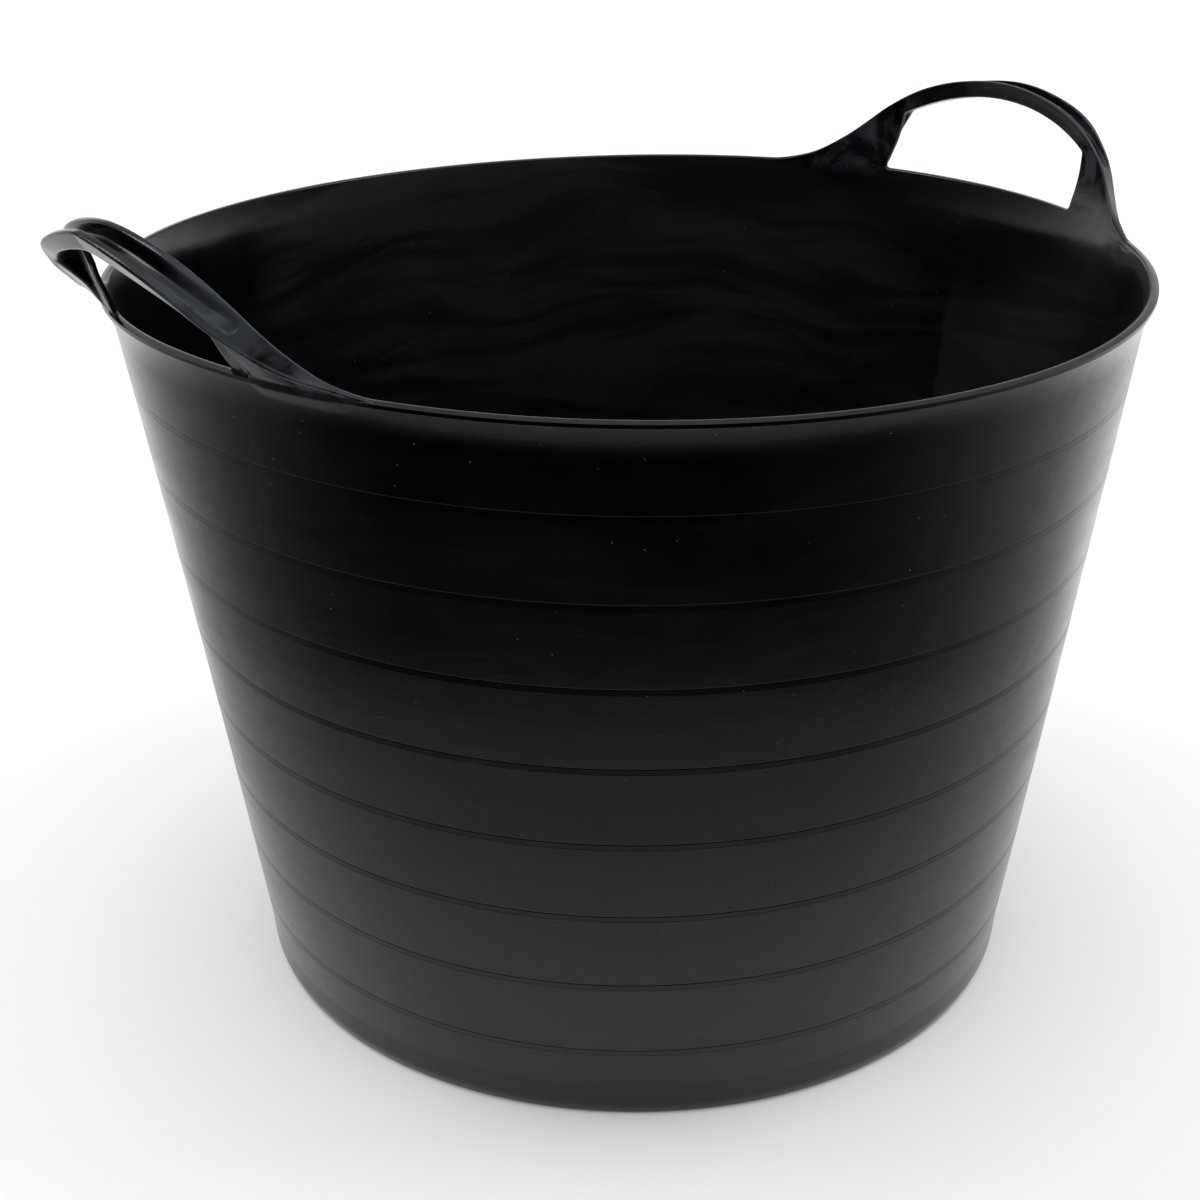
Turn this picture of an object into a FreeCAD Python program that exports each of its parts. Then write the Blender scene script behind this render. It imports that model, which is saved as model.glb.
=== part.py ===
import FreeCAD, Part
import math
import os
import Sketcher

# A flexible builder's tub: a tapered bucket moulded in one shot with two loop handles on its rim.
# Z is up, the origin is the centre of the base on the ground, and the handles lie on the X axis.

doc = FreeCAD.newDocument("MortarTub")

# ---------------------------------------------------------------- driving dimensions, in millimetres

SIZES = {
    "rim_radius": 225.0,  # outside of the lip
    "rim_height": 323.5,  # ground to the top of the lip
    "lip_thickness": 3.4,
    "lip_depth": 2.4,
    "lip_overhang": 0.4,  # crease under the lip
    "flare_start": 308.0,  # height at which the wall begins to curl outwards
    "flare_middle": 315.5,
    "flare_sag": 0.7,  # how far the flare's middle stays inside a straight line
    "wall_thickness": 3.0,
    "wall_radius": 176.9,  # outside of the cone, carried down to the ground
    "wall_taper": 0.1405,  # radius gained for each millimetre of height
    "first_step": 36.6,
    "step_spacing": 35.75,
    "step_depth": 0.45,
    "step_ramp": 2.8,
    "base_joint": 16.0,  # height at which the base ring becomes the wall
    "corner_radius": 12.0,
    "foot_radius": 158.0,  # inner edge of the standing ring
    "floor_lift": 3.0,  # underside of the floor above the ground
    "floor_thickness": 3.6,
    "inner_corner": 8.0,
    "handle_reach": 54.0,  # height above the rim to which the handle's faces are drawn
    "left_half_lean": 14.1,  # outward run of the inner face at half the reach
    "left_lean": 20.7,  # and at the full reach
    "right_half_lean": 2.6,
    "right_lean": -7.2,
    "handle_half_width": 9.6,  # inner face to outer face at half the reach
    "handle_width": 15.8,
    "skin": 2.2,  # thickness of the handle's walls
    "arch_height": 52.2,  # top of the inner flange above the rim
    "arch_radius": 113.0,
    "arch_side": 77.0,  # half width at which the arch turns into the root
    "root_bend_side": 92.0,
    "root_bend_height": 6.5,
    "root_side": 112.0,  # half width at which the root has run out into the rim
    "flange_drop": 2.0,  # the outer flange stands this much lower than the inner one
    "gap_height": 43.6,
    "gap_radius": 114.0,
    "gap_side": 57.0,  # half width of the finger gap at its top corners
    "gap_foot": 59.0,  # half width of the finger gap at the rim
    "apron_drop": 1.0,  # the outer flange hangs this much below the channel's floor
    "apron_foot": 62.0,  # half width of the gap at the rim, in the outer skin
    "web": 2.6,  # thickness of the channel's floor
    "cap_side": 62.0,  # half width at which the channel ends and the root's closed top begins
}

sheet = doc.addObject("Spreadsheet::Sheet", "Sizes")
for row, (alias, value) in enumerate(SIZES.items(), start=1):
    sheet.set(f"A{row}", alias)
    sheet.set(f"B{row}", str(value))
    sheet.setAlias(f"B{row}", alias)
doc.recompute()

STEP_COUNT = 8
HANDLE_SWEEP = 80.0  # degrees of the circle that the handle's bands cover
BLOCK_START = 120.0  # distance from the axis at which the handle's side outlines start
BLOCK_LENGTH = 200.0
DIAGONAL = 1 - math.sqrt(0.5)  # share of a quarter circle's radius between its middle and its corner
UPRIGHT_XZ = FreeCAD.Rotation(FreeCAD.Vector(1, 0, 0), 90)
UPRIGHT_YZ = FreeCAD.Rotation(FreeCAD.Vector(1, 1, 1), 120)
CAP_SLOPE = 1.5  # height of a skin on the slope of the roots, in skins
CAP_TOE = 4.0  # how soon the root's hollow closes before its foot, in skins


class Size:
    """A length that keeps its number together with the spreadsheet formula it comes from."""

    def __init__(self, value, formula):
        self.value = value
        self.formula = formula

    def join(self, other, sign, value):
        text = other.formula if isinstance(other, Size) else repr(float(other))
        return Size(value, f"({self.formula} {sign} {text})")

    def __add__(self, other):
        return self.join(other, "+", self.value + number(other))

    def __sub__(self, other):
        return self.join(other, "-", self.value - number(other))

    def __mul__(self, other):
        return self.join(other, "*", self.value * number(other))

    def __truediv__(self, other):
        return self.join(other, "/", self.value / number(other))

    def __neg__(self):
        return Size(-self.value, f"(-{self.formula})")


def number(value):
    return value.value if isinstance(value, Size) else float(value)


def size(alias):
    return Size(float(sheet.get(alias)), f"Sizes.{alias}")


NOTHING = Size(0.0, "0")


def root(value):
    return Size(math.sqrt(value.value), f"sqrt({value.formula})")


def on_circle(radius, side):
    """Height above the circle's centre of the point that lies side away from its middle."""
    return root(radius * radius - side * side)


# ---------------------------------------------------------------- sketches


def pin(sketch, geometry, point, place):
    """Fix one sketch point at a pair of sizes, each bound to its formula."""
    for kind, value in (("DistanceX", place[0]), ("DistanceY", place[1])):
        index = sketch.addConstraint(Sketcher.Constraint(kind, -1, 1, geometry, point, number(value)))
        if isinstance(value, Size):
            sketch.setExpression(f"Constraints[{index}]", value.formula)


def draw(sketch, path):
    """Draw a closed outline: each entry is (x, y), or (x, y, middle) for an arc that ends at x, y."""
    places = [entry[:2] for entry in path]
    vectors = [FreeCAD.Vector(number(x), number(y), 0) for x, y in places]
    for index, entry in enumerate(path):
        start = vectors[index - 1]
        end = vectors[index]
        if len(entry) == 2:
            line = sketch.addGeometry(Part.LineSegment(start, end), False)
            pin(sketch, line, 1, places[index - 1])
            pin(sketch, line, 2, places[index])
            continue
        middle = FreeCAD.Vector(number(entry[2][0]), number(entry[2][1]), 0)
        arc = sketch.addGeometry(Part.ArcOfCircle(start, middle, end), False)
        first = 1 if sketch.getPoint(arc, 1).distanceToPoint(start) < 1e-6 else 2
        pin(sketch, arc, first, places[index - 1])
        pin(sketch, arc, 3 - first, places[index])
        mark = sketch.addGeometry(Part.Point(middle), True)
        pin(sketch, mark, 1, entry[2])
        sketch.addConstraint(Sketcher.Constraint("PointOnObject", mark, 1, arc))
    return sketch


def plane_of(body, role):
    return [plane for plane in body.Origin.OriginFeatures if plane.Role == role][0]


def turned_body(label, path):
    """A body revolved once round Z from an outline in the XZ plane."""
    body = doc.addObject("PartDesign::Body", label)
    body.Label = label
    sketch = body.newObject("Sketcher::SketchObject", label + "_outline")
    sketch.AttachmentSupport = [(plane_of(body, "XZ_Plane"), "")]
    sketch.MapMode = "FlatFace"
    draw(sketch, path)
    doc.recompute()
    turn = body.newObject("PartDesign::Revolution", label + "_turn")
    turn.Profile = sketch
    turn.ReferenceAxis = (sketch, ["V_Axis"])
    turn.Angle = 360.0
    doc.recompute()
    return body


# ---------------------------------------------------------------- the tub


def cone_radius(height):
    """Outside radius of the wall at a height, before its steps are cut."""
    return size("wall_radius") + size("wall_taper") * height


def tub_floor():
    low = size("floor_lift")
    top = low + size("floor_thickness")
    edge = size("foot_radius")
    return turned_body("tub_floor", [(0, low), (edge, low), (edge, top), (0, top)])


def base_ring():
    """The rounded corner between floor and wall, with the ring that the tub stands on."""
    joint = size("base_joint")
    corner = size("corner_radius")
    bend = size("inner_corner")
    floor_top = size("floor_lift") + size("floor_thickness")
    wall_outside = cone_radius(joint)
    wall_inside = wall_outside - size("wall_thickness")
    corner_outside = cone_radius(corner)
    path = [
        (size("foot_radius"), floor_top),
        (size("foot_radius"), size("floor_lift")),
        (size("foot_radius") + size("floor_lift"), 0),
        (corner_outside - corner, 0),
        (corner_outside, corner, (corner_outside - corner * DIAGONAL, corner * DIAGONAL)),
        (wall_outside, joint),
        (wall_inside, joint),
        (
            wall_inside - bend,
            floor_top,
            (wall_inside - bend * DIAGONAL, floor_top + (joint - floor_top) * DIAGONAL),
        ),
    ]
    return turned_body("base_ring", path)


def stepped_wall():
    """The tapered wall. Each step bites in under the band above and slopes back out below it."""
    foot = size("base_joint")
    head = size("flare_start")
    path = [(cone_radius(foot) - size("wall_thickness"), foot), (cone_radius(foot), foot)]
    for step in range(STEP_COUNT):
        height = size("first_step") + size("step_spacing") * step
        below = height - size("step_ramp")
        path.append((cone_radius(below), below))
        path.append((cone_radius(height) - size("step_depth"), height))
        path.append((cone_radius(height), height))
    path.append((cone_radius(head), head))
    path.append((cone_radius(head) - size("wall_thickness"), head))
    return turned_body("stepped_wall", path)


def rim():
    """The flare above the wall and the thick lip on top of it."""
    foot = size("flare_start")
    middle = size("flare_middle")
    lip_foot = size("rim_height") - size("lip_depth")
    neck = size("rim_radius") - size("lip_overhang")
    foot_outside = cone_radius(foot)
    foot_inside = foot_outside - size("wall_thickness")
    lip_inside = size("rim_radius") - size("lip_thickness")
    half_way = (foot_outside + neck) / 2 - size("flare_sag")
    path = [
        (foot_inside, foot, ((foot_inside + lip_inside) / 2 - size("flare_sag"), middle)),
        (foot_outside, foot),
        (neck, lip_foot, (half_way, middle)),
        (size("rim_radius"), lip_foot),
        (size("rim_radius"), size("rim_height")),
        (lip_inside, size("rim_height")),
    ]
    return turned_body("rim", path)


# ---------------------------------------------------------------- the handles


def faces(side, layer):
    """Radii of a handle layer's two faces, each at the rim, at half the reach and at the full reach."""
    start = size("rim_radius") - size("lip_thickness")
    inner = [start, start + size(side + "_half_lean"), start + size(side + "_lean")]
    widths = [size("lip_thickness"), size("handle_half_width"), size("handle_width")]
    outer = [radius + width for radius, width in zip(inner, widths)]
    if layer == "inner_skin":
        return inner, [radius + size("skin") for radius in inner]
    if layer == "outer_skin":
        return [radius - size("skin") for radius in outer], outer
    return inner, outer


def band(side, layer):
    """A strip of turned shell that stands on the rim and leans outwards."""
    foot = size("rim_height")
    half = foot + size("handle_reach") / 2
    top = foot + size("handle_reach")
    near, far = faces(side, layer)
    name = f"{side}_{layer}_band"
    sketch = doc.addObject("Sketcher::SketchObject", name + "_section")
    sketch.Placement = FreeCAD.Placement(FreeCAD.Vector(), UPRIGHT_XZ)
    draw(
        sketch,
        [
            (near[0], foot, (near[1], half)),
            (far[0], foot),
            (far[2], top, (far[1], half)),
            (near[2], top),
        ],
    )
    turn = doc.addObject("Part::Revolution", name)
    turn.Source = sketch
    turn.Axis = FreeCAD.Vector(0, 0, 1)
    turn.Angle = HANDLE_SWEEP
    turn.Symmetric = True
    turn.Solid = True
    return turn


def block(name, path):
    """A block with an outline seen along X. The outline's heights are measured from the rim."""
    foot = size("rim_height")
    raised = [
        (side, foot + height, *((middle[0], foot + middle[1]) for middle in middles))
        for side, height, *middles in path
    ]
    sketch = doc.addObject("Sketcher::SketchObject", name + "_outline")
    sketch.Placement = FreeCAD.Placement(FreeCAD.Vector(BLOCK_START, 0, 0), UPRIGHT_YZ)
    draw(sketch, raised)
    solid = doc.addObject("Part::Extrusion", name)
    solid.Base = sketch
    solid.DirMode = "Normal"
    solid.LengthFwd = BLOCK_LENGTH
    solid.Solid = True
    return solid


def round_height(kind, side, drop):
    """Height of the arch, or of the finger gap's round top, at a distance from the handle's middle."""
    radius = size(kind + "_radius")
    return size(kind + "_height") - radius + on_circle(radius, side) - drop


def skin_block(name, flange_drop, gap_drop, gap_foot):
    """Side outline of one skin: an arch whose two feet run out along the rim, open at the finger gap."""
    arch_end = size("arch_side")
    arch_end_height = round_height("arch", arch_end, flange_drop)
    bend = size("root_bend_side")
    bend_height = size("root_bend_height") - flange_drop / 2
    root_end = size("root_side")
    corner = size("gap_side")
    corner_height = round_height("gap", corner, gap_drop)
    return block(
        name,
        [
            (-arch_end, arch_end_height, (-bend, bend_height)),
            (arch_end, arch_end_height, (0.0, size("arch_height") - flange_drop)),
            (root_end, 0.0, (bend, bend_height)),
            (gap_foot, 0.0),
            (corner, corner_height),
            (-corner, corner_height, (0.0, size("gap_height") - gap_drop)),
            (-gap_foot, 0.0),
            (-root_end, 0.0),
        ],
    )


def web_block(name):
    """Side outline of the channel's floor, a thin arch along the top of the finger gap."""
    corner = size("gap_side")
    low = round_height("gap", corner, NOTHING)
    web = size("web")
    return block(
        name,
        [
            (corner, low, (0.0, size("gap_height"))),
            (corner, low + web),
            (-corner, low + web, (0.0, size("gap_height") + web)),
            (-corner, low),
        ],
    )


def cap_block(name, end):
    """Side outline of a root's closed top, at the rear (end 1) or the front (end -1) of the handle."""
    start = size("cap_side")
    arch_end = size("arch_side")
    middle = (start + arch_end) / 2
    bend = size("root_bend_side")
    skin = size("skin")
    outline = [
        (start, round_height("arch", start, skin * CAP_SLOPE)),
        (start, round_height("arch", start, NOTHING)),
        (arch_end, round_height("arch", arch_end, NOTHING), (middle, round_height("arch", middle, NOTHING))),
        (size("root_side"), 0.0, (bend, size("root_bend_height"))),
        (size("root_side") - skin * CAP_TOE, 0.0),
        (
            arch_end,
            round_height("arch", arch_end, skin * CAP_SLOPE),
            (bend - skin, size("root_bend_height") - skin),
        ),
    ]
    mirrored = [(entry[0] * end, entry[1], *((at[0] * end, at[1]) for at in entry[2:])) for entry in outline]
    return block(name, mirrored)


def grip_block(name):
    """Side outline of the piece of handle that the hand holds: the span over the gap's top corners."""
    side = size("gap_side")
    wide = size("arch_side")
    low = round_height("gap", side, NOTHING)
    high = size("handle_reach")
    path = [(side, 0.0), (side, low), (wide, low), (wide, high), (-wide, high), (-wide, low), (-side, low)]
    return block(name, [*path, (-side, 0.0)])


def root_block(name, end):
    """Side outline of the piece of handle between the grip and the rim, at the rear or the front."""
    near = size("gap_side") * end
    far = (size("root_side") + size("skin")) * end
    high = round_height("gap", size("gap_side"), NOTHING)
    return block(name, [(near, 0.0), (near, high), (far, high), (far, 0.0)])


def common(name, first, second):
    shared = doc.addObject("Part::Common", name)
    shared.Base = first
    shared.Tool = second
    return shared


def handle(side, turn):
    """The three pieces of one loop handle: its grip and the two hollow roots that bend at the rim."""
    whole = doc.addObject("Part::MultiFuse", side + "_handle")
    full_band = band(side, "full")
    inner = skin_block(side + "_inner_side", NOTHING, NOTHING, size("gap_foot"))
    outer = skin_block(side + "_outer_side", size("flange_drop"), size("apron_drop"), size("apron_foot"))
    whole.Shapes = [
        common(side + "_inner_skin", band(side, "inner_skin"), inner),
        common(side + "_outer_skin", band(side, "outer_skin"), outer),
        common(side + "_web", full_band, web_block(side + "_web_side")),
        common(side + "_front_cap", full_band, cap_block(side + "_front_cap_side", -1)),
        common(side + "_rear_cap", full_band, cap_block(side + "_rear_cap_side", 1)),
    ]
    pieces = [
        common(side + "_handle_grip", whole, grip_block(side + "_grip_side")),
        common(side + "_handle_front_root", whole, root_block(side + "_front_root_side", -1 * turn)),
        common(side + "_handle_rear_root", whole, root_block(side + "_rear_root_side", turn)),
    ]
    for piece in pieces:
        piece.Label = piece.Name
        if turn < 0:
            piece.Placement = FreeCAD.Placement(
                FreeCAD.Vector(), FreeCAD.Rotation(FreeCAD.Vector(0, 0, 1), 180)
            )
    return pieces


# ---------------------------------------------------------------- build, check and write

parts = [tub_floor(), base_ring(), stepped_wall(), rim(), *handle("right", 1), *handle("left", -1)]
doc.recompute()

for made in doc.Objects:
    if "Invalid" in made.State or "Error" in made.State:
        raise RuntimeError(f"{made.Name} failed: {made.State}")
os.makedirs("parts", exist_ok=True)
for part in parts:
    shape = part.Shape
    if shape.isNull() or not shape.isValid() or len(shape.Solids) == 0:
        raise RuntimeError(f"{part.Label} is not a valid solid")
    shape.exportStep(f"parts/{part.Label}.step")
    box = shape.BoundBox
    print(f"{part.Label:26s} faces {len(shape.Faces):3d} volume {shape.Volume / 1000:8.2f} cm3")
    print(f"    X {box.XMin:.1f} {box.XMax:.1f}  Y {box.YMin:.1f} {box.YMax:.1f}  Z {box.ZMin:.1f} {box.ZMax:.1f}")
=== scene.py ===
import math

import bpy
import numpy as np
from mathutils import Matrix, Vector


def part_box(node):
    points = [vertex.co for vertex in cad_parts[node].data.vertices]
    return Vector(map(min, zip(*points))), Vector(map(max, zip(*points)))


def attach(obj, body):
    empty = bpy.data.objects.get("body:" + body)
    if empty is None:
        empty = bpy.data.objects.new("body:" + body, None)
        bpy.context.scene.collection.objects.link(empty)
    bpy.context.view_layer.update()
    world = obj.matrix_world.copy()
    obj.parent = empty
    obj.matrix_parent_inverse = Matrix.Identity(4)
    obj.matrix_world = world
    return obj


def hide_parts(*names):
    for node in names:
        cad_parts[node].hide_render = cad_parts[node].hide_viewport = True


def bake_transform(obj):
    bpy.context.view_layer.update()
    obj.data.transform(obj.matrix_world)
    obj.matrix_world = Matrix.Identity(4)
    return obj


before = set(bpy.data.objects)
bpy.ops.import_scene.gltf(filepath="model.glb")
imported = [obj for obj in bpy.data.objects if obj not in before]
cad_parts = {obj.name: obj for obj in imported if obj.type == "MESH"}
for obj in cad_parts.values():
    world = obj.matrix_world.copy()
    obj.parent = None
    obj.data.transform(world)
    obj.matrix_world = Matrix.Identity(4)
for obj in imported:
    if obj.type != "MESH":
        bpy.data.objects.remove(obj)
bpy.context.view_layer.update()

import openvdb
from mathutils import Matrix, Vector

# A flexible mortar tub in soft black polyethylene. Lengths are in metres unless a comment says otherwise,
# in the frame of the CAD model. Z is up, the origin is the middle of the base, and the handles lie on X.

MM = 0.001

# ---------------------------------------------------------------- sizes taken from the frame

RIM_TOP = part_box("rim")[1].z
RIM_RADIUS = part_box("rim")[1].y
WALL_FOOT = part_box("stepped_wall")[0].z
WALL_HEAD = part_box("stepped_wall")[1].z
FOOT_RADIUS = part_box("base_ring")[1].y
HEAD_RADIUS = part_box("stepped_wall")[1].y
WALL_TAPER = (HEAD_RADIUS - FOOT_RADIUS) / (WALL_HEAD - WALL_FOOT)
FLOOR_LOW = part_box("tub_floor")[0].z
FLOOR_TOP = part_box("tub_floor")[1].z
FLOOR_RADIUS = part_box("tub_floor")[1].y

# ---------------------------------------------------------------- sizes that repeat the CAD design's

WALL = 3.0 * MM
SEGMENTS = 288
ARC_DEGREES = 14.0  # longest step along a fillet's arc
MOST_OF_SIDE = 0.45  # share of a straight side that one fillet may take up
PAST_FILLET = 1.35  # a fillet's neighbours on the straights stand this far out, compared with its ends
SHORT_OF_MIDDLE = 0.49  # but never past this share of the side

STEP_COUNT = 8
FIRST_STEP = 36.6 * MM
STEP_SPACING = 35.75 * MM
STEP_DEPTH = 0.45 * MM
STEP_RAMP = 2.8 * MM  # height of the narrow sloping strip under each step
STEP_STRIP = 0.20 * MM  # how far the strip has run inwards at its top
STEP_EDGE = 0.30 * MM  # fillet of the edge over the undercut
STEP_RIDGE = (0.05 * MM, 0.10 * MM)  # depth and height of the tiny ridge at the strip's foot
STEP_NOTCH = (0.55 * MM, 0.15 * MM)  # how far below a step its undercut starts, and is deepest
STEP_FILLET = 0.10 * MM

CORNER_RADIUS = 12.0 * MM
INNER_CORNER = 8.0 * MM

LIP_THICKNESS = 3.4 * MM
LIP_DEPTH = 2.4 * MM
LIP_CREASE = 0.4 * MM
FLARE_CURL = 1.9  # how late the flare curls out: 1 would be straight

GATE_RADIUS = 7.0 * MM

HANDLE_TURN = 37.4  # degrees from the camera's picture plane to the handles' axis
CAMERA_FRONT = (0.0, -0.8462, 0.5361)
CAMERA_PITCH = 24.006
CAMERA_YAW = -1.046
CAMERA_ROLL = -0.523
CAMERA_LENS = 58.9
CAMERA_PLACE = Matrix.Rotation(math.radians(-HANDLE_TURN), 3, "Z") @ Vector(CAMERA_FRONT)

# Colours of the plastic and of what marks it, and of a reflection painted inside it
PLASTIC = (0.0003, 0.0004, 0.0005, 1)
PLASTIC_CLOUD = (0.0007, 0.0009, 0.0011, 1)
STREAK = (0.0022, 0.0026, 0.0030, 1)
# the inside's paler colour: bolder flow marks, and a painted reflection in front of each handle
INSIDE_FLOW_AND_REFLECTION = (0.0100, 0.0115, 0.0125, 1)
BLOOM = (0.022, 0.0245, 0.030, 1)
SCUFF = (0.012, 0.013, 0.014, 1)
SPECK = (0.12, 0.12, 0.115, 1)
PLASTIC_IOR = 1.5
PLASTIC_TINT = (0.88, 0.97, 1.05, 1)

WORLD_STRENGTH = 1.06
# Share of the floor that the black card on it lets reflections see, by distance from the tub's axis
FLAG_VIEW = (
    (0.19, 1.0),
    (0.26, 0.70),
    (0.33, 0.43),
    (0.38, 0.34),
    (0.41, 0.28),
    (0.44, 0.09),
    (0.51, 0.02),
    (0.64, 0.0),
)
FLAG_HEIGHT = 2 * MM
FLOOR_HALF = 6.0
# Away from its dark side the card opens: degrees where it starts and where it is fully open, and how slowly
FLAG_OPENS = (30.0, 130.0, 2.3)
DARK_SIDE_TURN = -7.0  # degrees from the camera to the middle of the dark side, anticlockwise from above
SIDE_LIGHT_HIGH = 0.4  # share of the white sides that is left well above the horizon
SIDE_FADE = (0.05, 0.35)  # upward part of a direction where the white sides start and stop to fade
CEILING_START = (0.62, 0.95)  # upward part of a direction where the white ceiling starts and is full
CEILING_LIGHT = 0.8
# soft lights: (name, degrees from the camera's side, height, distance, (width, length), watts)
LAMPS = (
    ("light_left", -100, 1.9, 1.2, (0.8, 0.8), 7.0),
    ("light_right", 95, 1.9, 1.2, (0.8, 0.8), 7.0),
)
LAMP_AIM = 0.7  # share of the rim's height that the lights look at

# The handle's sizes are in millimetres. Its edges are (distance from its middle, height above the rim).
INNER_TOP = ((0, 52.2), (26, 49.2), (48, 42.2), (66, 31.2), (84, 14.0), (98, 3.8), (118, 0.0))
OUTER_TOP = ((0, 51.0), (26, 47.8), (48, 40.2), (66, 27.0), (84, 9.8), (98, 3.0), (118, 0.0))
APRON_FOOT = ((0, 42.4), (25, 39.4), (48, 33.2), (66, 24.2), (84, 7.2), (98, 0.4), (118, -2.4))
# From the inner face to the outer top edge, as (distance from the middle, width)
HANDLE_WIDTH = ((0, 15.5), (26, 14.5), (48, 13.2), (66, 10.4), (84, 6.8), (98, 4.4), (118, 3.4))
GAP_HEIGHT = 43.5
GAP_RADIUS = 114.0
GAP_CORNER = 28.0  # height of the finger gap's lower top corners
# Half width of the gap at its top corners and at the rim, in the outer skin
OUTER_LEG = (58.0, 62.0)
# The same in the inner skin, in which the handles differ: at the front leg, then at the rear one
INNER_LEG = {"left": ((48.0, 49.5), (34.0, 57.0)), "right": ((57.0, 58.6), (57.0, 58.6))}
GAP_FILLET = 2.6
WEB = 2.6  # thickness between the gap and the groove's floor
BEAD = 0.45  # how far the apron stands out over the roots
PROUD = 0.5  # how far the roots' faces stand out over the rim's
GROOVE_END = 71.5
GROOVE_DEPTH = 2.2  # least depth, near its ends
INNER_FLANGE = 3.2
OUTER_FLANGE = 3.9
FLANGE_THINNING = 0.4  # share that the flanges lose towards the groove's ends
SKIN = 2.3  # thickness round the roots' hollows
HOLLOW_FOOT = 0.6  # height of the hollows' floor above the rim
HOLLOW_OVERLAP = 4.0  # how far the hollows reach into the gap, so that they open into it
ROOT_FOOT = 11.0  # how far the handle reaches down over the flare
ROOT_END = 119.0  # where the roots end, measured from the handle's middle
COVERED = (112, 92)  # the roots' outer face rises off the lip between these distances
REACH = 54.0  # height above the rim at which a handle's full lean is given
TWIST_HEIGHT = 50.0
FLUSH = 0.12  # how far a handle's skin lies inside the rim's where the rim should show
# Fillets between the handle's faces, and along the edges where its openings are cut
HULL_FILLET = 1.3
GAP_FILLETS = (1.2, 0.9)  # in the gap's corners, and along its edge
GROOVE_FILLETS = (1.6, 0.8)  # the same of the groove
GROOVE_END_FILLET = 2.4
GROOVE_FLOOR_FILLET = 5.0
HOLLOW_FILLETS = (1.8, 0.7)
GRID_BOX = ((-121, 121), (-12.5, 54.5), (-3, 21.5))  # along the rim, upwards and outwards
VOXEL = 0.5
# The handles are soft, so each has its own set: outward run of the inner face at half the reach and at the
# full reach, turn about Z at TWIST_HEIGHT in degrees, slide along the rim, width and height compared with
# the design's, how far the rear root stands inwards of the front one, and how steeply the grip's top tips
HANDLES = {
    "left": (14.2, 20.7, 2.0, 2.5, 0.93, 0.975, 2.5, 0.30),
    "right": (2.6, -7.2, -2.9, 3.2, 1.04, 1.0, 0.0, 0.0),
}

# The tub is soft, so its rim isn't quite round. All are in millimetres:
# (waves round the rim, bulge by cosine and sine, lift by cosine and sine), and (waves, bulge, start, climb)
LEFT_LIFT = (1.4, 0.65)  # the rim is higher at the left handle: by how many mm, and over what angle
OUT_OF_ROUND = ((1, -0.6, 0.5, 0.0, 0.4), (2, 1.4, -1.3, 0.7, 0.7), (3, 1.8, 0.7, 0.0, 0.0))
FINE_WAVES = ((5, 0.10, 2.1, 3.0), (9, 0.07, -1.3, -5.0), (14, 0.05, 0.0, 9.0))
RIPPLES_FULL = 60 * MM  # height at which the fine waves have grown to their full size


def cone_radius(height):
    """Outside radius of the wall at a height."""
    return FOOT_RADIUS + WALL_TAPER * (height - WALL_FOOT)


# ---------------------------------------------------------------- outlines and turned pieces


def rounded(corners, closed=True):
    """Turn corners (radius, height, fillet) into a smooth outline. Each fillet becomes a short arc."""
    outline = []
    count = len(corners)
    for index, (x, y, fillet) in enumerate(corners):
        here = np.array((x, y))
        before = np.array(corners[index - 1][:2]) - here
        after = np.array(corners[(index + 1) % count][:2]) - here
        open_end = not closed and index in (0, count - 1)
        if fillet == 0 or open_end:
            outline.append(here)
            continue
        a = before / np.linalg.norm(before)
        b = after / np.linalg.norm(after)
        half = math.acos(np.clip(a @ b, -1, 1)) / 2
        reach = fillet / math.tan(half)
        reach = min(reach, MOST_OF_SIDE * np.linalg.norm(before), MOST_OF_SIDE * np.linalg.norm(after))
        fillet = reach * math.tan(half)
        centre = here + (a + b) / np.linalg.norm(a + b) * (fillet / math.sin(half))
        start = here + a * reach - centre
        turn = math.pi - 2 * half
        side = np.sign(start[0] * b[1] - start[1] * b[0])
        steps = max(2, int(math.degrees(turn) / ARC_DEGREES))
        outline.append(here + a * min(reach * PAST_FILLET, SHORT_OF_MIDDLE * np.linalg.norm(before)))
        for step in range(steps + 1):
            angle = side * turn * step / steps
            c, s = math.cos(angle), math.sin(angle)
            outline.append(centre + np.array((c * start[0] - s * start[1], s * start[0] + c * start[1])))
        outline.append(here + b * min(reach * PAST_FILLET, SHORT_OF_MIDDLE * np.linalg.norm(after)))
    return np.array(outline)


def divided(outline, longest, closed=True):
    """Add points so that no stretch of an outline is longer than longest."""
    result = []
    count = len(outline) if closed else len(outline) - 1
    for index in range(count):
        start = outline[index]
        end = outline[(index + 1) % len(outline)]
        pieces = max(1, math.ceil(np.linalg.norm(end - start) / longest))
        for piece in range(pieces):
            result.append(start + (end - start) * piece / pieces)
    if not closed:
        result.append(outline[-1])
    return np.array(result)


def soft_shape(place):
    """The unevenness of a soft moulding: its rim is a little out of round and its wall ripples slightly."""
    angle = np.arctan2(place[:, 1], place[:, 0])
    height = place[:, 2] / RIM_TOP
    share = np.clip(height, 0, 1.05) ** 3
    bulge = np.zeros(len(place))
    lift = np.zeros(len(place))
    for waves, bulge_cos, bulge_sin, lift_cos, lift_sin in OUT_OF_ROUND:
        c = np.cos(waves * angle)
        s = np.sin(waves * angle)
        bulge += (bulge_cos * c + bulge_sin * s) * share
        lift += (lift_cos * c + lift_sin * s) * share
    rise, spread = LEFT_LIFT
    lift += rise * np.exp(-(((math.pi - np.abs(angle)) / spread) ** 2)) * share
    fade = np.clip(place[:, 2] / RIPPLES_FULL, 0, 1)
    for waves, size, start, climb in FINE_WAVES:
        bulge += size * np.sin(waves * angle + start + climb * height) * fade
    radius = np.hypot(place[:, 0], place[:, 1])
    scale = 1 + bulge * MM / np.maximum(radius, RIM_RADIUS / 4)
    return np.stack((place[:, 0] * scale, place[:, 1] * scale, place[:, 2] + lift * MM), axis=1)


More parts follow.
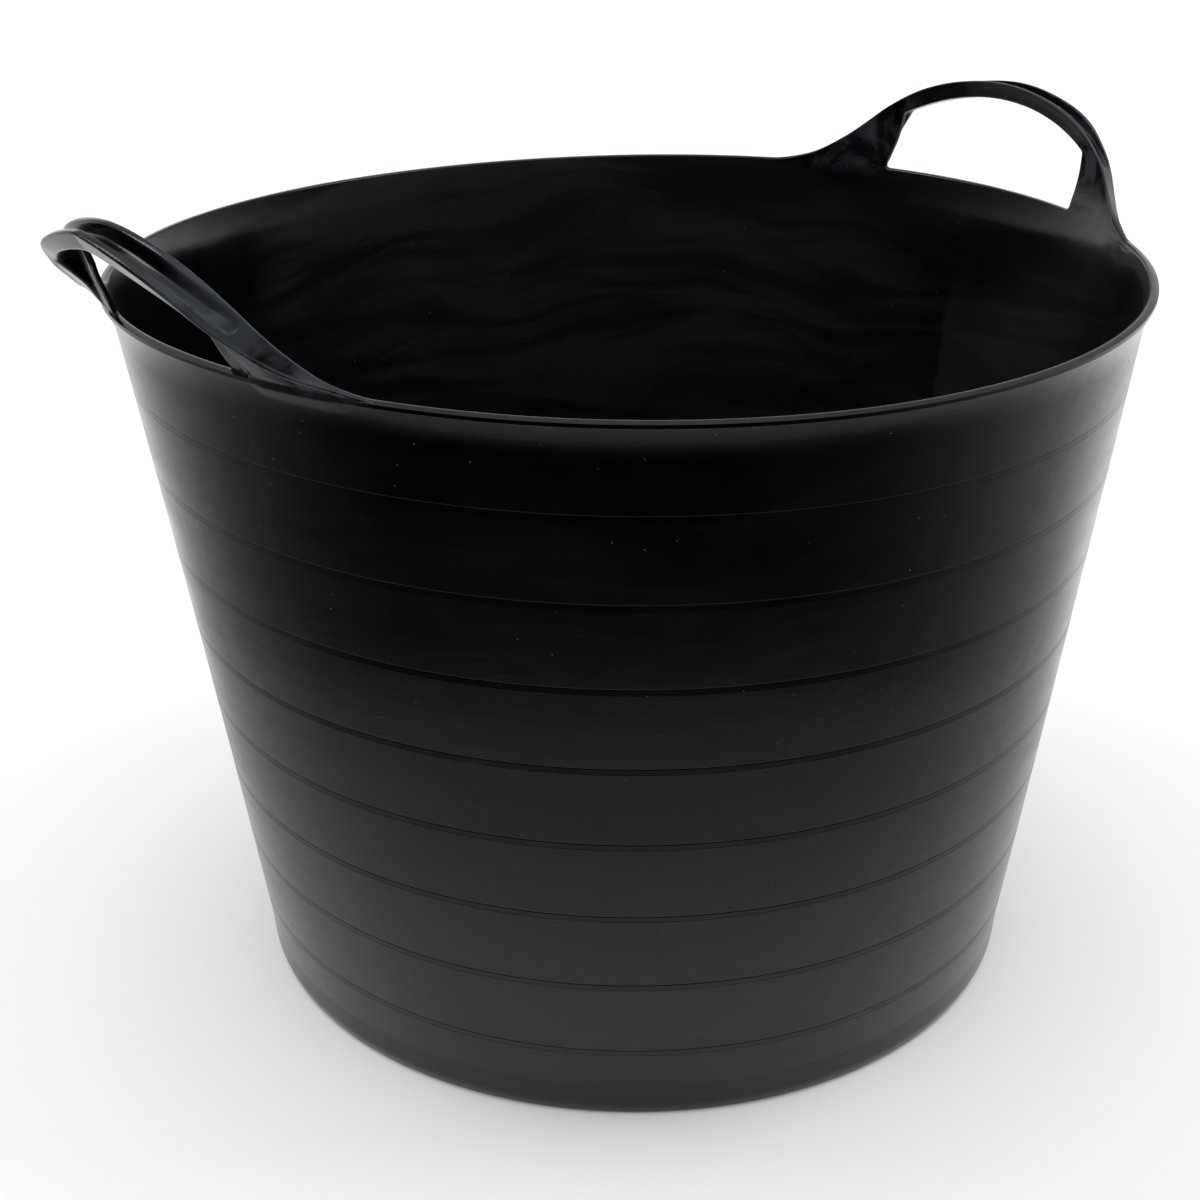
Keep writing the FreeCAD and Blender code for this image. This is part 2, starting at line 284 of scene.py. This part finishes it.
def mesh_piece(name, points, faces):
    """A smooth mesh object that remembers where its points were at rest."""
    mesh = bpy.data.meshes.new(name)
    mesh.from_pydata([tuple(point) for point in points], [], faces)
    mesh.update()
    mesh.shade_smooth()
    mesh.set_sharp_from_angle(angle=math.radians(50))
    keep = mesh.attributes.new("rest_place", "FLOAT_VECTOR", "POINT")
    keep.data.foreach_set("vector", np.asarray(points, np.float32).ravel())
    piece = bpy.data.objects.new(name, mesh)
    bpy.context.scene.collection.objects.link(piece)
    return piece


def turned(name, outline, material):
    """Turn a closed outline of (radius, height) points round Z. A point on the axis becomes one vertex."""
    angles = np.arange(SEGMENTS) * 2 * math.pi / SEGMENTS
    rings = []
    points = []
    for radius, height in outline:
        start = len(points)
        if radius < 1e-7:
            points.append((0.0, 0.0, height))
            rings.append([start] * SEGMENTS)
            continue
        points.extend((radius * math.cos(a), radius * math.sin(a), height) for a in angles)
        rings.append(list(range(start, start + SEGMENTS)))
    faces = []
    for index, ring in enumerate(rings):
        following = rings[(index + 1) % len(rings)]
        for step in range(SEGMENTS):
            after = (step + 1) % SEGMENTS
            corners = [ring[step], ring[after], following[after], following[step]]
            face = list(dict.fromkeys(corners))
            if len(face) > 2:
                faces.append(face)
    piece = mesh_piece(name, soft_shape(np.array(points)), faces)
    piece.data.materials.append(material)
    return piece


# ---------------------------------------------------------------- the tub's turned pieces


def make_floor(material):
    """The recessed floor, with the small disc on its underside where the plastic was fed in."""
    gate = GATE_RADIUS
    outline = rounded(
        [
            (0.0, FLOOR_LOW + 0.9 * MM, 0),
            (gate * 0.30, FLOOR_LOW + 0.9 * MM, 0.3 * MM),
            (gate * 0.34, FLOOR_LOW - 0.9 * MM, 0.3 * MM),
            (gate * 0.62, FLOOR_LOW - 0.9 * MM, 0.4 * MM),
            (gate, FLOOR_LOW, 1.2 * MM),
            (FLOOR_RADIUS, FLOOR_LOW, 0),
            (FLOOR_RADIUS, FLOOR_TOP, 0),
            (gate * 1.5, FLOOR_TOP, 6 * MM),
            (0.0, FLOOR_TOP + 0.15 * MM, 0),
        ]
    )
    return turned("floor", divided(outline, 6 * MM, closed=False), material)


def make_base(material):
    """The rounded corner between floor and wall, and the ring that the tub stands on."""
    joint = WALL_FOOT
    outside = cone_radius(joint)
    corner = CORNER_RADIUS
    outline = rounded(
        [
            (FLOOR_RADIUS, FLOOR_TOP, 0),
            (FLOOR_RADIUS, FLOOR_LOW, 0),
            (FLOOR_RADIUS + 1.2 * MM, 0.35 * MM, 1.2 * MM),
            (FLOOR_RADIUS + 4.5 * MM, 0.0, 1.5 * MM),
            (cone_radius(corner) - 0.2 * corner, 0.0, 3.0 * MM),
            (cone_radius(corner) - 0.02 * corner, 0.42 * corner, 9.0 * MM),
            (outside, joint, 0),
            (outside - WALL, joint, 0),
            (outside - WALL - 1.4 * MM, FLOOR_TOP, INNER_CORNER),
        ]
    )
    return turned("base", divided(outline, 2 * MM), material)


def make_wall(material):
    """The tapered wall. Each band starts with a sharp undercut; a narrow sloping strip lies below it."""
    outside = []
    ridge_depth, ridge_height = STEP_RIDGE
    notch_start, notch_end = STEP_NOTCH
    for step in range(STEP_COUNT):
        height = FIRST_STEP + STEP_SPACING * step
        low = height - STEP_RAMP
        notch = height - notch_start
        outside.append((cone_radius(low), low, STEP_FILLET))
        outside.append((cone_radius(low) - ridge_depth, low + ridge_height, ridge_height * 0.4))
        outside.append((cone_radius(notch) - STEP_STRIP, notch, STEP_FILLET))
        outside.append((cone_radius(height) - STEP_DEPTH, height - notch_end, STEP_FILLET))
        outside.append((cone_radius(height), height, STEP_EDGE))
    corners = [
        (cone_radius(WALL_FOOT) - WALL, WALL_FOOT, 0),
        (cone_radius(WALL_FOOT), WALL_FOOT, 0),
        *outside,
        (cone_radius(WALL_HEAD), WALL_HEAD, 0),
        (cone_radius(WALL_HEAD) - WALL, WALL_HEAD, 0),
    ]
    return turned("wall", divided(rounded(corners), 8 * MM), material)


def flare_radius(height, inside):
    """Radius of the flare's outer or inner face. It leaves the wall smoothly and curls out to the lip."""
    lip = RIM_TOP - LIP_DEPTH
    span = RIM_TOP - WALL_HEAD if inside else lip - WALL_HEAD
    end = RIM_RADIUS - LIP_THICKNESS if inside else RIM_RADIUS - LIP_CREASE
    start = cone_radius(WALL_HEAD) - (WALL if inside else 0)
    share = np.clip((height - WALL_HEAD) / span, 0, 1)
    straight = start + WALL_TAPER * (height - WALL_HEAD)
    return straight + (end - start - WALL_TAPER * span) * share**FLARE_CURL


def make_rim(material):
    """The flare above the wall, the thin crease over it, and the rounded lip."""
    lip = RIM_TOP - LIP_DEPTH
    inner = RIM_RADIUS - LIP_THICKNESS
    outer_flare = [(flare_radius(z, False), z, 0) for z in np.linspace(WALL_HEAD, lip - 0.5 * MM, 12)]
    inner_flare = [(flare_radius(z, True), z, 0) for z in np.linspace(RIM_TOP - 2.0 * MM, WALL_HEAD, 13)]
    corners = [
        *outer_flare,
        (RIM_RADIUS - LIP_CREASE, lip, 0.15 * MM),
        (RIM_RADIUS, lip + 0.05 * MM, 0.25 * MM),
        (RIM_RADIUS, RIM_TOP, 0.8 * MM),
        (inner, RIM_TOP, 1.1 * MM),
        *inner_flare,
    ]
    return turned("rim_and_lip", divided(rounded(corners), 1.5 * MM), material)


# ---------------------------------------------------------------- the handles


def through(nodes, place):
    """A smooth curve through (place, value) nodes, level at both ends."""
    at, value = np.array(nodes, float).T
    slope = np.zeros(len(at))
    slope[1:-1] = (value[2:] - value[:-2]) / (at[2:] - at[:-2])
    place = np.clip(place, at[0], at[-1])
    k = np.clip(np.searchsorted(at, place) - 1, 0, len(at) - 2)
    span = at[k + 1] - at[k]
    t = (place - at[k]) / span
    ends = value[k] * (1 + 2 * t) * (1 - t) ** 2 + value[k + 1] * t * t * (3 - 2 * t)
    return ends + span * (slope[k] * t * (1 - t) ** 2 + slope[k + 1] * t * t * (t - 1))


def smooth_step(value, start, end):
    t = np.clip((value - start) / (end - start), 0, 1)
    return t * t * (3 - 2 * t)


def blend_min(a, b, width):
    """The nearer of two distances, with a fillet about as wide as width where they meet."""
    overlap = np.maximum(width - np.abs(a - b), 0) / width
    return np.minimum(a, b) - overlap * overlap * width / 4


def blend_max(a, b, width):
    return -blend_min(-a, -b, width)


def all_inside(width, first, *others):
    """Distance to the space that lies inside every one of several faces, with rounded edges."""
    result = first
    for other in others:
        result = blend_max(result, other, width)
    return result


def lean_of(side, height):
    """Outward run of a handle's inner face in millimetres. Below the rim it follows the flare."""
    half, full, *_ = HANDLES[side]
    bend = (full - 2 * half) / (REACH * REACH / 2)
    rise = (half - bend * REACH * REACH / 4) / (REACH / 2)
    above = np.maximum(height, 0)
    flare = flare_radius(RIM_TOP + np.minimum(height, 0) * MM, True)
    return rise * above + bend * above * above + (flare - flare_radius(RIM_TOP, True)) / MM


def outer_face(side, side_way, h, edges):
    """Outward run of the outer face. Below the rim it hides the lip's crease; above, it widens."""
    inner_top, outer_top, apron_foot, width = edges
    lip = LIP_THICKNESS / MM
    lip_foot = -LIP_DEPTH / MM
    covered = smooth_step(side_way, *COVERED) * smooth_step(side_way, 58, 68)
    sunk = FLUSH * (1 - covered)
    below = (flare_radius(RIM_TOP + np.minimum(h, lip_foot) * MM, False) - flare_radius(RIM_TOP, True)) / MM
    over_flare = below + covered * PROUD * smooth_step(h, -8, lip_foot) - sunk
    over_lip = lip + 0.1 * covered - sunk
    top = lean_of(side, inner_top) + width
    widened = over_lip + (top - lip) * np.clip(h / np.maximum(outer_top, 1.0), 0, 1.2)
    outside = np.where(h < lip_foot, over_flare, np.where(h < 0, over_lip, widened))
    under_apron = smooth_step(apron_foot - h, 0.0, 0.8)
    on_root = smooth_step(side_way, 56, 60) * smooth_step(h, -0.5, 2)
    return outside - BEAD * under_apron * on_root - lean_of(side, h)


def inner_face(side_way, h, inner_top):
    """Outward run of the inner face: proud beside the finger gap, and hidden in the rim's skin below it."""
    beside_gap = smooth_step(side_way, 85, 60)
    proud = PROUD * beside_gap * smooth_step(h, -1, 6) * smooth_step(inner_top - h, 4, 12)
    return FLUSH * smooth_step(h, -1.5, -3.0) - 0.05 - proud


def gap_under(side_way, across, apron_foot):
    """Height of the finger gap's top, which runs down to the apron's foot at the outer face."""
    arch = GAP_HEIGHT - GAP_RADIUS + np.sqrt(GAP_RADIUS**2 - np.minimum(side_way, 60) ** 2)
    return arch + (apron_foot - arch) * across * smooth_step(side_way, 66, 56)


def gap_leg(side, turn, y, h, u):
    """Half width of the finger gap. It differs between the two skins, and at the rim it has a fillet."""
    fall = np.clip((GAP_CORNER - h) / GAP_CORNER, 0, 1)
    front_leg, rear_leg = (head + (foot - head) * fall for head, foot in INNER_LEG[side])
    inner_leg = front_leg + (rear_leg - front_leg) * smooth_step(turn * y, -15, 15)
    outer_leg = OUTER_LEG[0] + (OUTER_LEG[1] - OUTER_LEG[0]) * fall
    curl = GAP_FILLET - np.sqrt(GAP_FILLET**2 - (GAP_FILLET - np.clip(h, 0, GAP_FILLET)) ** 2)
    return inner_leg + (outer_leg - inner_leg) * smooth_step(u, SKIN - 0.4, SKIN + 0.6) - curl


def handle_distance(side, turn, y, h, u):
    """Signed distance in millimetres from a handle's skin. u is measured outwards from its inner face."""
    side_way = np.abs(y)
    edges = [through(nodes, side_way) for nodes in (INNER_TOP, OUTER_TOP, APRON_FOOT, HANDLE_WIDTH)]
    inner_top, outer_top, apron_foot, width = edges
    outer = outer_face(side, side_way, h, edges)
    inner = inner_face(side_way, h, inner_top)

    # the roof slopes from the inner top edge down to the outer one
    across = np.clip(u / width, 0, 1)
    roof = inner_top + (outer_top - inner_top) * across - 0.2 * smooth_step(side_way, 100, 112)
    steep = np.gradient(inner_top[:, 0, 0], y[:, 0, 0])[:, None, None]
    level = 1 / np.sqrt(1 + steep * steep)
    below_roof = (h - roof) * level
    hull = all_inside(HULL_FILLET, inner - u, u - outer, below_roof, -ROOT_FOOT - h, side_way - ROOT_END)

    under = gap_under(side_way, across, apron_foot)
    leg = gap_leg(side, turn, y, h, u)
    gap = all_inside(GAP_FILLETS[0], side_way - leg, h - under)
    body = blend_max(hull, -gap, GAP_FILLETS[1])

    # the groove along the grip's top
    thin = 1 - FLANGE_THINNING * smooth_step(side_way, 45, 72)
    floor = blend_min(under + WEB, roof - GROOVE_DEPTH, GROOVE_FLOOR_FILLET)
    past_outer_flange = u - (width - OUTER_FLANGE * thin)
    groove = all_inside(GROOVE_FILLETS[0], INNER_FLANGE * thin - u, past_outer_flange, floor - h)
    groove = all_inside(GROOVE_END_FILLET, groove, side_way - GROOVE_END)
    body = blend_max(body, -groove, GROOVE_FILLETS[1])

    # the hollow of the roots, open towards the gap
    cap = SKIN + GROOVE_DEPTH * smooth_step(side_way, GROOVE_END + 5, GROOVE_END - 1)
    ceiling = under + (roof - cap / level - under) * smooth_step(side_way, 60, 72)
    below_ceiling = (h - ceiling) * level
    beyond_gap = leg - HOLLOW_OVERLAP - side_way
    in_skins = (SKIN - u, u - (outer - SKIN))
    hollow = all_inside(HOLLOW_FILLETS[0], *in_skins, below_ceiling, HOLLOW_FOOT - h, beyond_gap)
    return blend_max(body, -hollow, HOLLOW_FILLETS[1])


def make_handle(side, turn, material):
    """One loop handle as a single skin, cut from a grid of distances. turn is 1 on +X and -1 on -X."""
    y, h, u = (np.arange(low, high + VOXEL, VOXEL) for low, high in GRID_BOX)
    distance = handle_distance(side, turn, *np.meshgrid(y, h, u, indexing="ij")).astype(np.float32)
    limit = 3 * VOXEL
    grid = openvdb.FloatGrid(limit)
    grid.copyFromArray(np.clip(distance, -limit, limit))
    points, quads = grid.convertToQuads()
    y, h, u = (points * VOXEL + np.array((y[0], h[0], u[0]))).T
    radius = (RIM_RADIUS - LIP_THICKNESS) / MM + lean_of(side, h) + u
    twist, slide, spread, stand, tuck, tip = HANDLES[side][2:]
    radius -= tuck * smooth_step(turn * y, 15, 75) * smooth_step(h, 0, 16) * smooth_step(h, 46, 26)
    angle = np.arcsin((y * spread + slide) / radius) + math.radians(twist) * np.maximum(h, 0) / TWIST_HEIGHT
    tipped = tip * np.maximum(u, 0) * smooth_step(h, 4, 30) * smooth_step(np.abs(y), -20, 50)
    above = np.where(h > 0, h * stand, h) - tipped
    place = np.stack((radius * np.cos(angle), radius * np.sin(angle), RIM_TOP / MM + above), axis=1) * MM
    place[:, :2] *= turn
    piece = mesh_piece(side + "_loop", soft_shape(place), quads.tolist())
    piece.data.materials.append(material)
    return piece


# ---------------------------------------------------------------- material


class Nodes:
    """Short ways to add and join the nodes of a new material or world."""

    def __init__(self, owner):
        owner.use_nodes = True
        self.tree = owner.node_tree

    def put(self, socket, value):
        if isinstance(value, bpy.types.NodeSocket):
            self.tree.links.new(value, socket)
        elif value is not None:
            socket.default_value = value

    def math(self, operation, a, b=None, c=None, clamp=False):
        node = self.tree.nodes.new("ShaderNodeMath")
        node.operation = operation
        node.use_clamp = clamp
        for socket, value in zip(node.inputs, (a, b, c)):
            self.put(socket, value)
        return node.outputs[0]

    def vector_math(self, operation, a, b=None):
        node = self.tree.nodes.new("ShaderNodeVectorMath")
        node.operation = operation
        self.put(node.inputs[0], a)
        self.put(node.inputs[1], b)
        return node.outputs["Value" if operation in ("DOT_PRODUCT", "LENGTH") else "Vector"]

    def split(self, vector):
        node = self.tree.nodes.new("ShaderNodeSeparateXYZ")
        self.put(node.inputs[0], vector)
        return node.outputs

    def vector(self, x, y, z):
        node = self.tree.nodes.new("ShaderNodeCombineXYZ")
        for socket, value in zip(node.inputs, (x, y, z)):
            self.put(socket, value)
        return node.outputs[0]

    def noise(self, where, scale, detail=2.0, roughness=0.5, distortion=0.0):
        node = self.tree.nodes.new("ShaderNodeTexNoise")
        self.put(node.inputs["Vector"], where)
        for name, value in (("Scale", scale), ("Detail", detail), ("Roughness", roughness)):
            node.inputs[name].default_value = value
        node.inputs["Distortion"].default_value = distortion
        return node.outputs["Fac"]

    def cells(self, where, scale):
        node = self.tree.nodes.new("ShaderNodeTexVoronoi")
        self.put(node.inputs["Vector"], where)
        node.inputs["Scale"].default_value = scale
        return node.outputs["Distance"], node.outputs["Color"]

    def range(self, value, low, high, to_low=0.0, to_high=1.0):
        node = self.tree.nodes.new("ShaderNodeMapRange")
        node.interpolation_type = "SMOOTHSTEP"
        for socket, number in zip(node.inputs, (value, low, high, to_low, to_high)):
            self.put(socket, number)
        return node.outputs[0]

    def mix(self, share, a, b):
        node = self.tree.nodes.new("ShaderNodeMix")
        node.data_type = "RGBA"
        self.put(node.inputs[0], share)
        self.put(node.inputs[6], a)
        self.put(node.inputs[7], b)
        return node.outputs[2]

    def bump(self, height, distance, strength, below=None):
        node = self.tree.nodes.new("ShaderNodeBump")
        node.inputs["Distance"].default_value = distance
        node.inputs["Strength"].default_value = strength
        self.put(node.inputs["Height"], height)
        self.put(node.inputs["Normal"], below)
        return node.outputs[0]


def polyethylene(name, roughness):
    """Soft black moulded plastic with flow marks, a painted pale reflection inside, an uneven gloss, pale
    specks, scuffs and scratches.
    """
    material = bpy.data.materials.new(name)
    n = Nodes(material)
    here = n.tree.nodes.new("ShaderNodeAttribute")
    here.attribute_name = "rest_place"
    place = here.outputs["Vector"]
    x, y, z = n.split(place)
    angle = n.math("ARCTAN2", y, x)
    radius = n.math("SQRT", n.math("ADD", n.math("MULTIPLY", x, x), n.math("MULTIPLY", y, y)))

    # flow marks: long wavy streaks that run round the wall, and broad cloudy ones
    wave = n.math("MULTIPLY", n.noise(place, 9.0, 1.0), 0.05)
    height = n.math("MULTIPLY", n.math("ADD", z, wave), 24.0)
    along = n.vector(n.math("MULTIPLY", angle, 0.9), height, n.math("MULTIPLY", radius, 4.0))
    streaks = n.noise(along, 2.2, 5.0, 0.62, 0.8)
    clouds = n.noise(place, 14.0, 3.0, 0.55, 0.6)
    fine = n.noise(place, 650.0, 2.0, 0.6)

    # inside, the flow marks are bolder, and a pale reflection is painted in front of each handle, hanging
    # like a curtain
    wall = n.math("MULTIPLY_ADD", z, WALL_TAPER, FOOT_RADIUS - WALL_TAPER * WALL_FOOT)
    inside = n.range(n.math("SUBTRACT", wall, radius), 0.0012, 0.0022)
    drift = n.math("MULTIPLY", n.math("SUBTRACT", n.noise(place, 13.0, 4.0, 0.6), 0.5), 0.14)
    beside = n.math("ADD", n.math("ARCTAN2", y, n.math("ABSOLUTE", x)), drift)
    reflection_edge = n.range(beside, 0.045, 0.065, 1.0, 0.0)
    painted_reflection = n.math("MULTIPLY", reflection_edge, n.range(beside, -0.75, -0.1))
    folds = n.noise(along, 1.3, 4.0, 0.55, 1.6)
    flow_marks_and_reflection = n.math("MULTIPLY_ADD", painted_reflection, 0.9, n.range(folds, 0.40, 0.64, 0.25, 1.0))
    flow_marks_and_reflection = n.math("MULTIPLY", flow_marks_and_reflection, n.math("MULTIPLY", inside, n.range(z, 0.05, 0.25, 0.4, 1.0)))

    # a pale, duller bloom on the handles' roots
    raised = n.range(z, RIM_TOP - 6 * MM, RIM_TOP + 10 * MM)
    side_way = n.math("ABSOLUTE", y)
    on_roots = n.math("MULTIPLY", n.range(side_way, 0.04, 0.06), n.range(side_way, 0.098, 0.114, 1.0, 0.0))
    blotches = n.range(n.noise(place, 42.0, 4.0, 0.6, 0.8), 0.40, 0.62)
    bloom = n.math("MULTIPLY", n.math("MULTIPLY", raised, on_roots), blotches)

    # scuffs: patches of short scratches, more of them low down
    low_down = n.range(z, 0.0, 0.30, 1.0, 0.15)
    patches = n.range(n.noise(place, 20.0, 4.0, 0.6), 0.56, 0.70)
    hair = n.range(n.noise(along, 34.0, 3.0, 0.7), 0.57, 0.66)
    scuffs = n.math("MULTIPLY", n.math("MULTIPLY", patches, hair), low_down)

    # pale specks of dust and mortar
    distance, tint = n.cells(place, 330.0)
    rare = n.range(n.split(tint)[0], 0.94, 0.95)
    specks = n.math("MULTIPLY", n.range(distance, 0.06, 0.10, 1.0, 0.0), rare)

    base = n.mix(n.range(clouds, 0.35, 0.7), PLASTIC, PLASTIC_CLOUD)
    base = n.mix(n.math("MULTIPLY", n.range(streaks, 0.5, 0.75), 0.6), base, STREAK)
    # paler inside: bolder flow marks, and a painted pale reflection in front of each handle
    base = n.mix(n.math("MULTIPLY", flow_marks_and_reflection, 0.7), base, INSIDE_FLOW_AND_REFLECTION)
    base = n.mix(bloom, base, BLOOM)
    base = n.mix(n.math("MULTIPLY", scuffs, 0.7), base, SCUFF)
    base = n.mix(n.math("MULTIPLY", specks, 0.55), base, SPECK)
    shader = n.tree.nodes["Principled BSDF"].inputs
    n.put(shader["Base Color"], base)

    gloss = n.math("MULTIPLY_ADD", n.range(streaks, 0.3, 0.7), 0.05, roughness)
    gloss = n.math("MULTIPLY_ADD", n.range(clouds, 0.3, 0.7), 0.05, gloss)
    gloss = n.math("MULTIPLY_ADD", scuffs, 0.22, gloss)
    gloss = n.math("MULTIPLY_ADD", flow_marks_and_reflection, 0.10, gloss)
    gloss = n.math("MULTIPLY_ADD", bloom, 0.18, gloss)
    n.put(shader["Roughness"], gloss)
    shader["IOR"].default_value = PLASTIC_IOR
    shader["Specular Tint"].default_value = PLASTIC_TINT

    relief = n.bump(streaks, 0.0003, 0.35)
    relief = n.bump(clouds, 0.0010, 0.4, relief)
    relief = n.bump(fine, 0.00005, 0.5, relief)
    relief = n.bump(specks, 0.0002, 0.5, relief)
    n.put(shader["Normal"], relief)
    return material


# ---------------------------------------------------------------- studio


def stage_piece(name, points, faces, material):
    """A mesh that stands round the object and isn't part of it."""
    mesh = bpy.data.meshes.new(name)
    mesh.from_pydata(points, [], faces)
    mesh.materials.append(material)
    thing = bpy.data.objects.new(name, mesh)
    bpy.context.scene.collection.objects.link(thing)
    return thing


def make_floor_plane():
    """A wide pale matt floor under the tub."""
    material = bpy.data.materials.new("studio_floor")
    shader = Nodes(material).tree.nodes["Principled BSDF"].inputs
    shader["Base Color"].default_value = (0.96, 0.96, 0.96, 1)
    shader["Roughness"].default_value = 0.9
    shader["Specular IOR Level"].default_value = 0.0
    corners = [(FLOOR_HALF * x, FLOOR_HALF * y, 0) for x, y in ((-1, -1), (1, -1), (1, 1), (-1, 1))]
    stage_piece("studio_floor", corners, [(0, 1, 2, 3)], material)


def turn_from_camera(n, direction):
    """Nodes for the angle in radians, seen from above, between a direction and the dark side's middle."""
    flat = n.vector_math("NORMALIZE", n.vector_math("MULTIPLY", direction, (1, 1, 0)))
    middle = math.atan2(CAMERA_PLACE.y, CAMERA_PLACE.x) + math.radians(DARK_SIDE_TURN)
    return n.math("ARCCOSINE", n.vector_math("DOT_PRODUCT", flat, (math.cos(middle), math.sin(middle), 0)))


def opening(n, direction):
    """Nodes for how far the dark side of the studio has opened to white in a direction."""
    start, end, slowness = FLAG_OPENS
    share = n.math("DIVIDE", turn_from_camera(n, direction), math.radians(end - start))
    share = n.math("SUBTRACT", share, start / (end - start), clamp=True)
    return n.math("POWER", share, slowness)


def make_flag():
    """A graded black card on the floor. Only reflections show it, so the tub's front stays dark."""
    material = bpy.data.materials.new("studio_flag")
    n = Nodes(material)
    where = n.tree.nodes.new("ShaderNodeNewGeometry").outputs["Position"]
    ramp = n.tree.nodes.new("ShaderNodeValToRGB")
    start = FLAG_VIEW[0][0]
    widest = FLAG_VIEW[-1][0]
    stops = ramp.color_ramp.elements
    stops.remove(stops[1])
    stops[0].position = start / widest
    stops[0].color = (FLAG_VIEW[0][1],) * 3 + (1,)
    for place, share in FLAG_VIEW[1:]:
        stops.new(place / widest).color = (share, share, share, 1)
    n.put(ramp.inputs[0], n.math("DIVIDE", n.vector_math("LENGTH", where), widest))
    near = ramp.outputs[0]
    seen = n.math("MULTIPLY_ADD", n.math("SUBTRACT", 1.0, near), opening(n, where), near, clamp=True)
    card = n.tree.nodes.new("ShaderNodeBsdfTransparent")
    n.put(card.inputs[0], seen)
    n.put(n.tree.nodes["Material Output"].inputs["Surface"], card.outputs[0])

    count = 48
    angles = [2 * math.pi * step / count for step in range(count)]
    rings = (start, FLOOR_HALF - 0.5)
    points = [(r * math.cos(a), r * math.sin(a), FLAG_HEIGHT) for r in rings for a in angles]
    faces = [(k, (k + 1) % count, (k + 1) % count + count, k + count) for k in range(count)]
    flag = stage_piece("studio_flag", points, faces, material)
    flag.visible_camera = False
    flag.visible_diffuse = False
    flag.visible_shadow = False
    flag.visible_transmission = False


def aim(place, target):
    """A matrix that stands at place and looks at target."""
    look = (Vector(target) - Vector(place)).to_track_quat("-Z", "Y")
    return Matrix.Translation(place) @ look.to_matrix().to_4x4()


def make_light(name, azimuth, height, distance, size, power):
    """A large soft light that looks at the tub. azimuth is in degrees anticlockwise from the camera."""
    angle = math.atan2(CAMERA_PLACE[1], CAMERA_PLACE[0]) + math.radians(azimuth)
    light = bpy.data.lights.new(name, "AREA")
    light.shape = "RECTANGLE"
    light.size, light.size_y = size
    light.energy = power
    lamp = bpy.data.objects.new(name, light)
    bpy.context.scene.collection.objects.link(lamp)
    place = (distance * math.cos(angle), distance * math.sin(angle), height)
    lamp.matrix_world = aim(place, (0, 0, RIM_TOP * LAMP_AIM))


def make_world(strength):
    """Even white light from all round. In reflections the camera's side is dark, up to the ceiling."""
    world = bpy.data.worlds.new("studio")
    n = Nodes(world)
    direction = n.tree.nodes.new("ShaderNodeTexCoord").outputs["Generated"]
    upward = n.split(direction)[2]
    ceiling = n.math("MULTIPLY", n.range(upward, *CEILING_START), CEILING_LIGHT)
    sides = n.math("MULTIPLY", opening(n, direction), n.range(upward, *SIDE_FADE, 1.0, SIDE_LIGHT_HIGH))
    reflected = n.math("MAXIMUM", ceiling, sides)
    glossy = n.tree.nodes.new("ShaderNodeLightPath").outputs["Is Glossy Ray"]
    share = n.math("MULTIPLY_ADD", glossy, n.math("SUBTRACT", reflected, 1.0), 1.0)
    background = n.tree.nodes["Background"]
    background.inputs["Color"].default_value = (1, 1, 1, 1)
    n.put(background.inputs["Strength"], n.math("MULTIPLY", share, strength))
    bpy.context.scene.world = world


def make_camera():
    """The camera stands in front of the tub, its handles' axis turned away, and looks down into it."""
    swing = Matrix.Rotation(math.radians(-HANDLE_TURN), 4, "Z")
    pitch, yaw, roll = (math.radians(value) for value in (CAMERA_PITCH, CAMERA_YAW, CAMERA_ROLL))
    forward = Vector((math.sin(yaw) * math.cos(pitch), math.cos(yaw) * math.cos(pitch), -math.sin(pitch)))
    right = Vector((math.cos(yaw), -math.sin(yaw), 0))
    up = right.cross(forward)
    level = Matrix((right, up, -forward)).transposed().to_4x4()
    camera = bpy.data.objects.new("camera", bpy.data.cameras.new("camera"))
    camera.data.sensor_width = 36.0
    camera.data.lens = CAMERA_LENS
    camera.matrix_world = swing @ Matrix.Translation(CAMERA_FRONT) @ level @ Matrix.Rotation(roll, 4, "Z")
    bpy.context.scene.collection.objects.link(camera)
    bpy.context.scene.camera = camera


make_camera()
make_world(WORLD_STRENGTH)
make_floor_plane()
make_flag()
for lamp in LAMPS:
    make_light(*lamp)

skin = polyethylene("black_polyethylene_skin", 0.15)
turned_pieces = {
    "tub_floor": make_floor,
    "base_ring": make_base,
    "stepped_wall": make_wall,
    "rim": make_rim,
}
for node, make in turned_pieces.items():
    piece = make(skin)
    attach(piece, "tub")
    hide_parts(node)

for side, turn in (("left", -1), ("right", 1)):
    piece = make_handle(side, turn, skin)
    handle = side + "_handle"
    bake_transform(piece)
    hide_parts(handle + "_grip", handle + "_front_root", handle + "_rear_root")

bpy.context.scene.view_settings.view_transform = "Standard"
